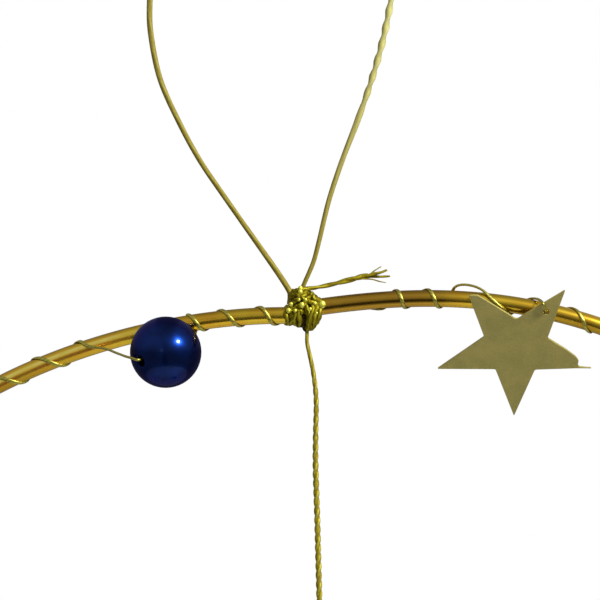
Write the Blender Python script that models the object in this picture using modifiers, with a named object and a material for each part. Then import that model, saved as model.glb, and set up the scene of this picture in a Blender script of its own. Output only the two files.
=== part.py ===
"""A hanging mobile: a gold rod bent to a hoop, wound with thin gold thread that carries blue beads and gold
stars. A gold cord is lashed round the hoop's weld. It makes the loop that the mobile hangs by, and below the
lashing it carries one more bead and star in the middle of the hoop.

Metres, +Z up. The viewer looks along +Y, and the hoop lies in the XZ plane. The origin is on the inside of
the top of the loop, where a hook goes.
"""

import math

import bmesh
import bpy
import numpy as np
from mathutils import Matrix, Vector

# Gap between pieces that touch
CLEARANCE = 0.0003

# Hoop: a rod bent to a ring, kinked inward and stepped where its ends are welded
ROD = 0.0033
HOOP_RADIUS = 0.1248
WELD_AT = Vector((0.0029, 0.0, -0.0878))
WELD_DENT = 0.0218
WELD_STEP = 0.0014
WELD_STEP_RUN = 0.0016
WELD_STEP_FADE = 0.0125
OVAL = 0.0041
OVAL_AT = math.radians(68)
OVAL_FADE = math.radians(46)
HOOP_LEAN = math.radians(-3.25)

# Thread wound on the hoop
THREAD = 0.00055
THREAD_PITCH = 0.0082
FRONT_SHARE = 0.58
STEPS_A_TURN = 6

# Beads, whose centres hang a little below the rod and before it
BEAD = 0.0137
BEAD_BORE = 0.0020
BEAD_DROP = 0.336 * BEAD
BEAD_SWING = math.radians(44)
BEAD_DIP = math.radians(6)

# Stars: the waist, the drop and the thread hole's place in its arm are shares of the radius
STAR_RADIUS = 0.0158
STAR_WAIST = 0.413
STAR_DROP = 0.503
STAR_THICKNESS = 0.0005
STAR_TILT = math.radians(30.5)
STAR_ROLL = math.radians(10)
THREAD_HOLE = 0.0016
THREAD_HOLE_AT = 0.636

# Beads and stars take turns along the hoop, measured clockwise from the weld
PAIRS = 6
FIRST_STAR = 0.0428
LAST_BEAD = -0.0279

# Cord of the loop and the lashing, whose turns stand off the rod by these shares of the cord
CORD = 0.0010
TURN_HEIGHTS = (0.55, 0.75, 0.95, 1.0, 1.0, 0.95, 0.8)
LASHING_LENGTH = len(TURN_HEIGHTS) * CORD
CORD_GAP = 0.0004
TAIL = 0.9 * CORD
TAIL_FLARE = 0.5

# Half sizes of the knot above the weld and of the tuft below it, their places, and the directions in which
# the loop's two ends leave the knot
KNOT = CORD * Vector((2.6, 2.7, 2.1))
KNOT_AT = WELD_AT + Vector((-0.7 * CORD, 0.0, ROD / 2 + 1.45 * CORD))
TUFT = CORD * Vector((1.0, 1.2, 1.6))
TUFT_AT = WELD_AT + Vector((0.4 * CORD, 0.0, -ROD / 2 - 0.25 * CORD))
LOOP_ENDS = (math.radians(149), math.radians(79))

# Pendant on the lower end of a thinner cord
PENDANT_CORD = 0.00085
TIE_KNOT = 0.0028
TIE_HOLE = 0.0020
TIE_HOLE_BELOW_TIP = 0.0046
TIE_SLACK = 0.0008
TIP_GAP = 0.0006

# Colours, roughness and metallic values
GOLD_ROD = ((0.55, 0.39, 0.09), 0.20, 1.0)
GOLD_THREAD = ((0.42, 0.38, 0.10), 0.40, 0.9)
GOLD_CORD = ((0.45, 0.38, 0.06), 0.45, 0.8)
BLUE_PEARL = ((0.010, 0.016, 0.110), 0.15, 0.8)
GOLD_CARD = ((0.30, 0.25, 0.09), 0.55, 0.3)

# Distance between the points of a cord's curve
ROUTE_STEP = 0.0028

# Route of the loop from one side of the knot to the other, as millimetres across and up from the hook
LOOP_ROUTE = [
    (-2.9, -79.3), (-6.9, -73.6), (-12.4, -65.8), (-17.7, -58.0), (-21.9, -50.2),
    (-25.3, -42.4), (-27.0, -34.6), (-27.4, -28.7), (-26.7, -21.9), (-23.8, -14.1), (-18.3, -7.3),
    (-9.8, -1.6), (0.0, 0.5), (8.8, -1.4), (15.6, -6.7), (19.5, -13.7), (20.6, -20.9), (19.7, -26.8),
    (18.1, -34.6), (15.9, -42.4), (13.2, -50.2), (10.2, -58.0), (7.6, -65.8), (5.7, -73.6), (4.7, -77.5),
    (3.8, -79.8),
]

# Route of the cord from the lashing to the pendant, the same way, from below the lashing's tuft
PENDANT_ROUTE = [
    (3.3, -93.6), (3.7, -95.6), (4.4, -98.8), (4.9, -102.4), (5.1, -105.8), (5.0, -110.6), (4.95, -116.5),
    (5.1, -122.3), (5.3, -128.2), (5.5, -136.0), (5.7, -143.8), (5.75, -151.0), (5.75, -159.0),
    (5.75, -167.0), (5.75, -175.0), (5.75, -183.4),
]

# Route of the loose end of the lashing, the same way
TAIL_ROUTE = [(2.6, -83.9), (5.0, -83.0), (8.6, -82.2), (12.0, -81.5), (15.0, -80.8), (18.3, -79.9)]


def material(name, look):
    """A Principled material from a colour, a roughness and a metallic value."""
    colour, roughness, metallic = look
    made = bpy.data.materials.new(name)
    made.use_nodes = True
    shader = made.node_tree.nodes["Principled BSDF"]
    shader.inputs["Base Color"].default_value = (*colour, 1.0)
    shader.inputs["Roughness"].default_value = roughness
    shader.inputs["Metallic"].default_value = metallic
    made.diffuse_color = (*colour, 1.0)
    return made


def add(name, data, collection, finish=None):
    """A new object in a collection, with a material."""
    made = bpy.data.objects.new(name, data)
    collection.objects.link(made)
    if finish and not data.materials:
        data.materials.append(finish)
    return made


def hide(cutter):
    """Marks a cutter or a joined-in shape, which is no piece of its own."""
    cutter.hide_render = True
    cutter.display_type = "WIRE"


def tube(name, points, diameter, collection, finish=None, closed=False, roundness=2, radii=None):
    """A round bar along points: a bevelled curve with filled caps."""
    curve = bpy.data.curves.new(name, "CURVE")
    curve.dimensions = "3D"
    curve.bevel_depth = diameter / 2
    curve.bevel_resolution = roundness
    curve.use_fill_caps = True
    spline = curve.splines.new("POLY")
    spline.points.add(len(points) - 1)
    spline.use_cyclic_u = closed
    for i, point in enumerate(points):
        spline.points[i].co = (*point, 1.0)
        spline.points[i].radius = radii[i] if radii else 1.0
    return add(name, curve, collection, finish)


def as_mesh(bar, collection):
    """The same bar as a closed mesh, which Booleans can use."""
    graph = bpy.context.evaluated_depsgraph_get()
    mesh = bpy.data.meshes.new_from_object(bar.evaluated_get(graph))
    shape = bmesh.new()
    shape.from_mesh(mesh)
    bmesh.ops.remove_doubles(shape, verts=shape.verts, dist=1e-6)
    bmesh.ops.recalc_face_normals(shape, faces=shape.faces)
    shape.to_mesh(mesh)
    shape.free()
    name, place = bar.name, bar.matrix_world.copy()
    bpy.data.objects.remove(bar)
    made = add(name, mesh, collection)
    made.matrix_world = place
    return made


def lump(name, size):
    """A round lump with the given half sizes."""
    mesh = bpy.data.meshes.new(name)
    shape = bmesh.new()
    bmesh.ops.create_uvsphere(shape, u_segments=10, v_segments=7, radius=1.0)
    shape.transform(Matrix.Diagonal((*size, 1.0)))
    shape.to_mesh(mesh)
    shape.free()
    mesh.shade_smooth()
    return mesh


def boolean(piece, other, operation):
    """Joins another mesh to a piece, or cuts it away."""
    step = piece.modifiers.new(operation.lower() + "_" + other.name, "BOOLEAN")
    step.operation = operation
    step.object = other
    hide(other)


def turned(name, profile, steps):
    """A mesh outline in the XZ plane, for turning about Z. It runs down its outer side, and it is open where
    both its ends are on the axis."""
    mesh = bpy.data.meshes.new(name)
    edges = [(i, i + 1) for i in range(len(profile) - 1)]
    if profile[0][0] > 0.0:
        edges.append((len(profile) - 1, 0))
    mesh.from_pydata([(r, 0.0, z) for r, z in profile], edges, [])
    mesh["steps"] = steps
    return mesh


def turn(piece):
    """Turns a piece's outline into a solid."""
    screw = piece.modifiers.new("turn", "SCREW")
    screw.axis = "Z"
    screw.steps = screw.render_steps = piece.data["steps"]
    screw.use_merge_vertices = True
    screw.merge_threshold = 0.00001
    screw.use_smooth_shade = True
    return piece


def flat(pairs):
    """Route points in the XZ plane, from millimetres across and up."""
    return [Vector((x / 1000, 0.0, z / 1000)) for x, z in pairs]


def smooth_route(points, spacing):
    """Points about that far apart on one smooth curve (Catmull-Rom) through the route's own points."""
    ends = [2 * points[0] - points[1], *points, 2 * points[-1] - points[-2]]
    made = [points[0]]
    for a, b, c, d in zip(ends, ends[1:], ends[2:], ends[3:]):
        steps = max(1, round((c - b).length / spacing))
        for i in range(1, steps + 1):
            t = i / steps
            bend = (2 * a - 5 * b + 4 * c - d) * t * t + (3 * b - a - 3 * c + d) * t**3
            made.append((2 * b + (c - a) * t + bend) / 2)
    return made


def hoop_radius(angle):
    """Distance of the rod's centreline from the hoop's centre, at an angle clockwise from the weld."""
    dent = WELD_DENT * (np.abs(np.sin(angle / 2)) - 2 / math.pi)
    oval = OVAL * np.cos(2 * (angle - OVAL_AT)) * np.exp(-((angle / OVAL_FADE) ** 2))
    along = angle * HOOP_RADIUS
    step = WELD_STEP / 2 * np.tanh(along / WELD_STEP_RUN) * np.exp(-np.abs(along) / WELD_STEP_FADE)
    return HOOP_RADIUS + dent + oval + step


def from_hoop_centre(angle):
    """Points of the rod's centreline as seen from the hoop's centre, as an array, from an array of angles."""
    radius, leaned = hoop_radius(angle), angle + HOOP_LEAN
    return np.stack([radius * np.sin(leaned), 0 * radius, radius * np.cos(leaned)], axis=-1)


HOOP_CENTRE = np.array(WELD_AT) - from_hoop_centre(np.zeros(1))[0]
ANGLES = np.linspace(-math.pi, math.pi, 8001)
STEPS = np.linalg.norm(np.diff(from_hoop_centre(ANGLES), axis=0), axis=1)
RUN = np.concatenate([[0.0], np.cumsum(STEPS)])
HOOP_LENGTH = float(RUN[-1])
RUN_TO_WELD = float(RUN[len(ANGLES) // 2])
FRONT = Vector((0.0, -1.0, 0.0))


def hoop_frame(along):
    """(centre, direction along the rod, direction outward) at a distance clockwise from the weld."""
    angle = np.interp((along + RUN_TO_WELD) % HOOP_LENGTH, RUN, ANGLES)
    here, ahead = HOOP_CENTRE + from_hoop_centre(np.array([angle - 1e-4, angle + 1e-4]))
    forward = Vector(ahead - here).normalized()
    return Vector((here + ahead) / 2), forward, FRONT.cross(forward)


def by_rod(along, outward, front):
    """The point so far along the hoop, outward from the rod's centreline and in front of it."""
    centre, _, out = hoop_frame(along)
    return centre + out * outward + FRONT * front


# The thread's centreline lies this far from the rod's, and its corners a little further, so that the
# straight steps between them clear the rod
CLOSE = ROD / 2 + CLEARANCE + THREAD / 2
CORNER = CLOSE / math.cos(math.pi / STEPS_A_TURN)


def round_rod(along, phase, reach=CORNER):
    """A thread point beside the rod: phase is 90 degrees on the hoop's outer side and 0 in front."""
    turn_by = math.radians(phase)
    return by_rod(along, reach * math.sin(turn_by), reach * math.cos(turn_by))


def wraps(start, end, turns, front_share=FRONT_SHARE):
    """Thread points of whole turns from one crossing over the outer side of the rod to the next, without
    the first. The thread comes down the front of the rod and goes up behind it as it moves clockwise, and
    it covers that share of its pitch in front."""
    pitch, half = (end - start) / turns, STEPS_A_TURN / 2
    points = []
    for i in range(1, turns * STEPS_A_TURN + 1):
        whole, step = divmod(i, STEPS_A_TURN)
        if step <= half:
            share = front_share * step / half
        else:
            share = front_share + (1 - front_share) * (step - half) / half
        points.append(round_rod(start + pitch * (whole + share), 90 - 360 * step / STEPS_A_TURN))
    return points


# Where a bead's centre sits from the rod's centreline, touching the rod, and which way its bore's front
# mouth points, both as (along, outward, front)
BEAD_SEAT = Vector((0.0, -BEAD_DROP, math.sqrt((BEAD / 2 + ROD / 2 + CLEARANCE) ** 2 - BEAD_DROP**2)))
BORE_WAY = Vector((
    -math.cos(BEAD_DIP) * math.cos(BEAD_SWING), -math.sin(BEAD_DIP), math.cos(BEAD_DIP) * math.sin(BEAD_SWING)
))
BEAD_LEAD_IN = 0.0095
BEAD_LEAD_OUT = -0.0017


def bead_passage(seat):
    """Thread points past a bead, from a crossing before it to one after it: off the front of the rod,
    through the bore, down behind the bead and up behind the rod."""
    front_mouth = BEAD_SEAT + BORE_WAY * (BEAD / 2)
    back_mouth = BEAD_SEAT - BORE_WAY * (BEAD / 2)
    start, out = seat - BEAD / 2 - BEAD_LEAD_IN, seat + BEAD / 2
    sag = [(-0.467, 0.30, -0.64), (-0.35, 0.226, -0.423), (-0.263, 0.175, -0.175), (-0.139, 0.095, 0.029)]
    free = [
        *(front_mouth + BEAD * Vector(shares) for shares in sag),
        front_mouth + BORE_WAY * 0.0008,
        back_mouth - BORE_WAY * 0.0008,
    ]
    return [
        round_rod(start + 0.0010, 40),
        round_rod(start + 0.0024, 5),
        *(by_rod(seat + spot.x, spot.y, spot.z) for spot in free),
        round_rod(out - 0.0004, -65, CORNER * 1.25),
        round_rod(out - 0.0002, -105),
        round_rod(out - 0.0006, -165),
        round_rod(out - 0.0011, -225),
        round_rod(out + BEAD_LEAD_OUT, 90),
    ]


def in_sheet(across, up):
    """(along, in the sheet's upward direction) of a point given by its place across and up a star."""
    cos, sin = math.cos(STAR_ROLL), math.sin(STAR_ROLL)
    return across * cos - up * sin, across * sin + up * cos


def sheet_front(outward, off=0.0):
    """How far in front of the rod's centreline a star's sheet is at that distance outward. Its upper side
    leans forward, over the thread. off is a distance in front of the sheet, square to it."""
    seat = ROD / 2 + THREAD + STAR_THICKNESS / 2 + 2 * CLEARANCE
    return (seat + off + outward * math.sin(STAR_TILT)) / math.cos(STAR_TILT)


# Place of the thread hole on the star, across and up from its middle, and seen from the rod below it
HOLE = (
    STAR_RADIUS * THREAD_HOLE_AT * math.cos(math.radians(54)),
    STAR_RADIUS * THREAD_HOLE_AT * math.sin(math.radians(54)),
)
HOLE_ALONG, HOLE_UP = in_sheet(*HOLE)
HOLE_OUTWARD = HOLE_UP * math.cos(STAR_TILT) - STAR_DROP * STAR_RADIUS
STAR_LEAD_IN = 0.0130
LAST_STAR_TURN = (0.0051, 0.0116)
SLACK = 0.0003


def star_passage(seat):
    """Thread points past a star, from a crossing before it to one after it: a slack turn over the rod, a
    turn behind the sheet, then over the sheet's upper edge, back through its hole and round the rod."""
    off = (STAR_THICKNESS + THREAD) / 2 + CLEARANCE
    start, hole = seat - STAR_LEAD_IN, seat + HOLE_ALONG
    slack_turn = [(0.0008, 84, 1), (0.0026, 75, 1), (0.0044, 58, 0.9), (0.0056, 42, 0.4)]
    over_edge = [(-0.0023, 0.0024, -0.0022), (-0.0019, 0.0019, -0.0006), (-0.0012, 0.0011, 0)]
    return [
        *(round_rod(start + on, phase, CORNER + SLACK * share) for on, phase, share in slack_turn),
        round_rod(start + 0.0066, 23),
        round_rod(start + 0.0079, 0),
        round_rod(start + 0.0094, -30),
        round_rod(hole - 0.0056, -95),
        round_rod(hole - 0.0047, -150),
        round_rod(hole - 0.0035, -210),
        round_rod(hole - 0.0026, 90),
        *(
            by_rod(hole + on, HOLE_OUTWARD + up, sheet_front(HOLE_OUTWARD + up, off) + further)
            for on, up, further in over_edge
        ),
        by_rod(hole, HOLE_OUTWARD + 0.0001, sheet_front(HOLE_OUTWARD + 0.0001, off)),
        by_rod(hole, HOLE_OUTWARD - 0.0001, sheet_front(HOLE_OUTWARD - 0.0001, -off)),
        round_rod(hole + 0.0004, -45),
        round_rod(hole + 0.0011, -95),
        round_rod(hole + 0.0024, -150),
        round_rod(hole + 0.0040, -210),
        round_rod(hole + LAST_STAR_TURN[0], 90),
        *wraps(hole + LAST_STAR_TURN[0], hole + LAST_STAR_TURN[1], 1),
    ]


# Crossings over the outer side of the rod beside the lashing
BEFORE_LASHING = [-0.0164, -0.0090]
AFTER_LASHING = [0.0184, 0.0244]
LASHING_END = LASHING_LENGTH / 2 + CLEARANCE + THREAD


def seats():
    """Places of the stars and of the beads along the hoop, clockwise from the first star to the last bead."""
    spacing = (HOOP_LENGTH + LAST_BEAD - FIRST_STAR) / (2 * PAIRS - 1)
    places = [FIRST_STAR + spacing * i for i in range(2 * PAIRS)]
    return places[0::2], places[1::2]


def thread_route():
    """The thread from the lashing clockwise round the hoop, past each star and bead, to the lashing."""
    out_of_lashing = [(LASHING_END, -170), (0.0095, -160), (0.0150, -100), (0.0164, -155), (0.0175, -210)]
    points = [round_rod(along, phase) for along, phase in out_of_lashing]
    points.append(round_rod(AFTER_LASHING[0], 90))
    points += wraps(*AFTER_LASHING, 1, front_share=0.3)
    reached = AFTER_LASHING[-1]
    for star, bead in zip(*seats()):
        for seat, passage, lead_in, lead_out in (
            (star, star_passage, STAR_LEAD_IN, HOLE_ALONG + LAST_STAR_TURN[1]),
            (bead, bead_passage, BEAD / 2 + BEAD_LEAD_IN, BEAD / 2 + BEAD_LEAD_OUT),
        ):
            start = seat - lead_in
            points += wraps(reached, start, max(1, round((start - reached) / THREAD_PITCH)))
            points += passage(seat)
            reached = seat + lead_out
    for crossing in BEFORE_LASHING:
        points += wraps(reached, HOOP_LENGTH + crossing, 1)
        reached = HOOP_LENGTH + crossing
    into_lashing = [(0.0008, 30), (0.0020, -30), (0.0031, -90)]
    points += [round_rod(reached + on, phase) for on, phase in into_lashing]
    points.append(round_rod(-LASHING_END, -150))
    return points


def beside_weld():
    """Places along the rod on both sides of the weld, close enough to follow its kink and step."""
    return [i * WELD_STEP_RUN * 0.6 for i in range(-6, 7)]


def hoop(collection, finish):
    """The rod, with closer points at the weld, where it kinks and steps."""
    near = beside_weld()
    away, spacing = near[-1] + 2 * WELD_STEP_RUN, 0.0120
    count = round((HOOP_LENGTH - 2 * away) / spacing)
    far = [away + (HOOP_LENGTH - 2 * away) * i / count for i in range(count + 1)]
    return tube("hoop", [hoop_frame(along)[0] for along in near + far], ROD, collection, finish, closed=True)


def bead_mesh():
    """A round bead's outline about its bore, from the upper mouth down the outside to the lower one."""
    ball, stretches = BEAD / 2, 7
    mouth = math.asin(BEAD_BORE / BEAD)
    tilts = [mouth + (math.pi - 2 * mouth) * i / stretches for i in range(stretches + 1)]
    return turned("bead", [(ball * math.sin(a), ball * math.cos(a)) for a in tilts], 12)


def hoop_bead(number, seat, mesh, collection, finish):
    """A bead that rests on the front of the rod, its bore swung towards the viewer."""
    _, forward, out = hoop_frame(seat)
    axis = forward * BORE_WAY.x + out * BORE_WAY.y + FRONT * BORE_WAY.z
    bead = turn(add(f"bead_{number}", mesh, collection, finish))
    place = Matrix.Translation(by_rod(seat, BEAD_SEAT.y, BEAD_SEAT.z))
    bead.matrix_world = place @ axis.to_track_quat("Z", "Y").to_matrix().to_4x4()


def star_outline(chipped):
    """Corners of a five-pointed star, point down, as shares of its radius. The chipped one has lost most of
    the tip of its right arm, and a sliver of the lower edge is left."""
    corners = []
    for i in range(10):
        angle = -math.pi / 2 + math.pi * i / 5
        reach = STAR_WAIST if i % 2 else 1.0
        corners.append((reach * math.cos(angle), reach * math.sin(angle)))
        if chipped and i == 2:
            corners += [(0.787, -0.286), (0.779, -0.246), (0.799, -0.184), (0.667, -0.071)]
    return corners


def star_sheet(name, hole, hole_size, chipped=False):
    """A flat star with a round hole, as a filled 2D curve in its own XY plane."""
    curve = bpy.data.curves.new(name, "CURVE")
    curve.dimensions = "2D"
    curve.fill_mode = "BOTH"
    curve.extrude = STAR_THICKNESS / 2
    sides = 10
    rim = [2 * math.pi * i / sides for i in range(sides)]
    edge = [(hole[0] + hole_size / 2 * math.cos(a), hole[1] + hole_size / 2 * math.sin(a)) for a in rim]
    outline = [(x * STAR_RADIUS, y * STAR_RADIUS) for x, y in star_outline(chipped)]
    for corners in (outline, edge):
        spline = curve.splines.new("POLY")
        spline.points.add(len(corners) - 1)
        spline.use_cyclic_u = True
        for point, (x, y) in zip(spline.points, corners):
            point.co = (x, y, 0.0, 1.0)
    return curve


def hoop_star(number, seat, collection, finish):
    """A star before the rod, its upper arms across it and its lower point towards the hoop's middle."""
    name = f"star_{number}"
    star = add(name, star_sheet(name, HOLE, THREAD_HOLE, chipped=number == 1), collection, finish)
    _, forward, out = hoop_frame(seat)
    up = out * math.cos(STAR_TILT) + FRONT * math.sin(STAR_TILT)
    pose = Matrix((forward, up, forward.cross(up))).transposed() @ Matrix.Rotation(STAR_ROLL, 3, "Z")
    drop = STAR_DROP * STAR_RADIUS
    star.matrix_world = Matrix.Translation(by_rod(seat, -drop, sheet_front(-drop))) @ pose.to_4x4()


def lashing(collection, helpers, finish):
    """The cord wound round the weld, the knot above it, the tuft that the pendant cord leaves by and the
    loose end, all one solid, cut to clear the rod."""
    inner, length = ROD / 2 + CLEARANCE, LASHING_LENGTH
    valley, ridges = 0.6, []
    for i, height in enumerate(TURN_HEIGHTS):
        middle = length / 2 - (i + 0.5) * CORD
        for share, shape in ((0.5, valley), (0.2, 1.0), (-0.2, 1.0)):
            ridges.append((inner + CORD * height * shape, middle + share * CORD))
    end = (inner + CORD * TURN_HEIGHTS[-1] * valley, -length / 2)
    profile = [(0.0, length / 2), *ridges, end, (0.0, -length / 2)]
    made = turn(add("lashing", turned("lashing", profile, 12), collection, finish))
    left, right = (hoop_frame(along)[0] for along in (-length / 2, length / 2))
    place = Matrix.Translation((left + right) / 2)
    made.matrix_world = place @ (left - right).to_track_quat("Z", "Y").to_matrix().to_4x4()
    for name, size, spot in (("knot", KNOT, KNOT_AT), ("tuft", TUFT, TUFT_AT)):
        joined = add(name, lump(name, size), helpers)
        joined.location = spot
        boolean(made, joined, "UNION")
    tail_points = smooth_route(flat(TAIL_ROUTE), ROUTE_STEP)
    flare = [1.0 + TAIL_FLARE * (i / (len(tail_points) - 1)) ** 3 for i in range(len(tail_points))]
    boolean(made, as_mesh(tube("tail", tail_points, TAIL, helpers, radii=flare), helpers), "UNION")
    rod_points = [hoop_frame(along)[0] for along in beside_weld()]
    boolean(made, as_mesh(tube("rod_room", rod_points, ROD + 2 * CLEARANCE, helpers), helpers), "DIFFERENCE")


def beside_knot(direction):
    """The point that a cord ends at, the cord's gap away from the knot in that direction."""
    way = Vector((math.cos(direction), 0.0, math.sin(direction)))
    reach = 1.0 / Vector((way.x / KNOT.x, 0.0, way.z / KNOT.z)).length
    return KNOT_AT + way * (reach + CORD_GAP)


def cords(collection, finish):
    """The loop above the knot and the thinner cord below the tuft."""
    left, right = (beside_knot(direction) for direction in LOOP_ENDS)
    loop_points = smooth_route([left, *flat(LOOP_ROUTE), right], ROUTE_STEP)
    tube("hanging_loop", loop_points, CORD, collection, finish)
    below_tuft = TUFT_AT - Vector((0.0, 0.0, TUFT.z + CORD_GAP))
    pendant_points = smooth_route([below_tuft, *flat(PENDANT_ROUTE)], ROUTE_STEP)
    tube("pendant_cord", pendant_points, PENDANT_CORD, collection, finish)


def pendant(collection, helpers, bead, cord_gold, blue, card):
    """A bead threaded on the cord, the knot that holds it, and a star tied on below by an eye of cord."""
    end = flat(PENDANT_ROUTE)[-1]
    knot_at = end - Vector((0.0, 0.0, CLEARANCE + TIE_KNOT / 2))
    threaded = turn(add("pendant_bead", bead, collection, blue))
    threaded.location = end + Vector((0.0, 0.0, BEAD / 2))
    knot = add("pendant_tie", lump("pendant_tie", [TIE_KNOT / 2] * 3), collection, cord_gold)
    knot.location = knot_at
    tip_z = knot_at.z - TIE_KNOT / 2 - TIP_GAP
    eye_bottom = tip_z - TIE_HOLE_BELOW_TIP + TIE_HOLE / 2 - PENDANT_CORD / 2 - CLEARANCE
    half_wide = (STAR_THICKNESS + PENDANT_CORD) / 2 + TIE_SLACK
    half_high = (knot_at.z - eye_bottom) / 2
    sides = 14
    eye_points = []
    for i in range(sides):
        angle = 2 * math.pi * (i + 0.5) / sides
        spot = Vector((0.0, half_wide * math.sin(angle), half_high * (math.cos(angle) - 1.0)))
        eye_points.append(knot_at + spot)
    eye = as_mesh(tube("eye", eye_points, PENDANT_CORD, helpers, closed=True), helpers)
    boolean(knot, eye, "UNION")
    hole = (0.0, TIE_HOLE_BELOW_TIP - STAR_RADIUS)
    star = add("pendant_star", star_sheet("pendant_star", hole, TIE_HOLE), collection, card)
    star.location = (end.x, 0.0, tip_z - STAR_RADIUS)
    star.rotation_euler = (math.radians(90), math.radians(180), 0.0)


def main():
    for old in list(bpy.data.objects):
        bpy.data.objects.remove(old)
    scene = bpy.context.scene.collection
    mobile, helpers = (bpy.data.collections.new(name) for name in ("hanging_mobile", "cutters"))
    scene.children.link(mobile)
    scene.children.link(helpers)
    cord_gold = material("gold_cord", GOLD_CORD)
    blue = material("blue_pearl", BLUE_PEARL)
    card = material("gold_card", GOLD_CARD)
    hoop(mobile, material("gold_rod", GOLD_ROD))
    tube("winding_thread", thread_route(), THREAD, mobile, material("gold_thread", GOLD_THREAD), roundness=0)
    bead = bead_mesh()
    for number, (star_seat, bead_seat) in enumerate(zip(*seats()), 1):
        hoop_star(number, star_seat, mobile, card)
        hoop_bead(number, bead_seat, bead, mobile, blue)
    lashing(mobile, helpers, cord_gold)
    cords(mobile, cord_gold)
    pendant(mobile, helpers, bead, cord_gold, blue, card)


main()
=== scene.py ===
"""Looks of a hanging mobile: a gold hoop wound with gold thread that carries blue pearl beads and gold card
stars, hung by a metallic cord that is lashed and knotted round the hoop's weld.

Metres, +Z up. The hoop lies in the XZ plane, the viewer looks along +Y, and the origin is at the inside of
the top of the loop, where a hook goes. Tables of millimetres are multiplied by MM.
"""

import math

import bmesh
import bpy
import numpy as np
from mathutils import Matrix, Vector


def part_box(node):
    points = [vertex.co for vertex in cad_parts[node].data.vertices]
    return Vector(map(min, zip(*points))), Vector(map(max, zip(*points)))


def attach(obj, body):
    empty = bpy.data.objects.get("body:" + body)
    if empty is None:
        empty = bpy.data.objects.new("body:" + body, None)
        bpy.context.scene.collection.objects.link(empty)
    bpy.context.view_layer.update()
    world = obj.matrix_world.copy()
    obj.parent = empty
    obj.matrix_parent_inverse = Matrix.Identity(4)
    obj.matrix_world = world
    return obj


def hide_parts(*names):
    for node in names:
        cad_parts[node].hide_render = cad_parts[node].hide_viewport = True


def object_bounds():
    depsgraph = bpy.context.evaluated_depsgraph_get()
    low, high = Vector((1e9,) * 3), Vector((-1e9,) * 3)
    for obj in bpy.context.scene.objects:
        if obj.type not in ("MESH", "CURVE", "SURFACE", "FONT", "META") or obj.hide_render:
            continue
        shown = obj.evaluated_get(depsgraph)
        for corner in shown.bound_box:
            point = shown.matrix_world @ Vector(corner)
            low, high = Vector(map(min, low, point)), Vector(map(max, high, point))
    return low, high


bl_info = {
    "name": "Hanging mobile",
    "version": (1, 0, 0),
    "blender": (4, 5, 0),
    "location": "View3D > Sidebar > Mobile",
    "description": "Dresses a hoop mobile with its cord, thread, beads and stars",
    "category": "Add Mesh",
}

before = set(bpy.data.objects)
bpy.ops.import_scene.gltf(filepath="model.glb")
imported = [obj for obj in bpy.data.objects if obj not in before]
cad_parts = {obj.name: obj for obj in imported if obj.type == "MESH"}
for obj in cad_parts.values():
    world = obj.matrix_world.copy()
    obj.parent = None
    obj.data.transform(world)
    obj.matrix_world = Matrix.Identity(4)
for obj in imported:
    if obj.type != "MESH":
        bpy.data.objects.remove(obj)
CAD_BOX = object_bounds()
MM = 0.001
FRONT = np.array([0.0, -1.0, 0.0])

# The camera, the floor, and the lamps with their width, power and direction from the middle of the picture
CAMERA_LENS = 138.46
CAMERA_AT = (0.00193, -0.45, -0.08535)
FLOOR_RADIUS = 0.27
FLOOR_BELOW = 0.02
PICTURE_MIDDLE = Vector((0.0, 0.0, -0.09))
LAMPS = [("key", 0.14, 14.0, (0.634, -0.549, 0.546)), ("window", 0.17, 0.07, (-0.19, -0.97, 0.12))]

# Brightness of the studio from behind the mobile (0), past below (0.25), the viewer (0.5) and above (0.75)
STUDIO = [
    (0.00, 0.15), (0.10, 0.18), (0.16, 0.34), (0.225, 0.42), (0.32, 0.38), (0.365, 0.20), (0.395, 0.04),
    (0.49, 0.05), (0.54, 0.28), (0.62, 0.44), (0.70, 0.36), (0.80, 0.24), (0.92, 0.16), (1.00, 0.15),
]

# The hoop's centreline, as in the solids: a round ring with a kink and a step at its weld
HOOP_RADIUS = 0.1248
WELD_AT = np.array([0.0029, 0.0, -0.0878])
WELD_DENT = 0.0218
WELD_STEP = 0.0014
WELD_STEP_RUN = 0.0016
WELD_STEP_FADE = 0.0125
OVAL = 0.0041
OVAL_AT = math.radians(68)
OVAL_FADE = math.radians(46)
HOOP_LEAN = math.radians(-3.25)
# The rod's points are closer together up to this far from the weld
WELD_STRETCH = 0.012

# Stars and beads take turns round the hoop. Places are measured along it, clockwise from the weld.
PAIRS = 6
FIRST_STAR = 0.0428
LAST_BEAD = -0.0279
# Gap between the rod and a bead, and half the gap between the thread and a star
CLEARANCE = 0.0003

# The thread's usual pitch, the wider one before a bead, and the share of a turn's length that is in front
THREAD_PITCH = 0.0070
WIDE_PITCH = 0.0088
FRONT_SHARE = 0.62
# Where the thread lies on the rod it is sunk in a little, and pressed to this width, as a share of its
# thickness, and this height, as a share of that width. Between these two amounts of slack it turns from
# pressed to round, with the change smoothed over so many points.
SUNK = 0.00002
PRESSED_WIDTH = 1.40
PRESSED_FLATNESS = 0.47
FREE_WIDTH = 0.90
SLACK = [0.00010, 0.00045]
SMOOTHING = 13
# How far before and past a star's or a bead's place the thread's turns end and start again
BEFORE_STAR = 0.0135
PAST_STAR = 0.0119
BEFORE_BEAD = 0.0169
PAST_BEAD = 0.0115
# Where the thread's first turns past the lashing cross the rod's outer side and its inner side
FIRST_TOPS = [0.0183, 0.0243, 0.0295]
FIRST_BOTTOMS = [0.0198, 0.0265]

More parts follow.
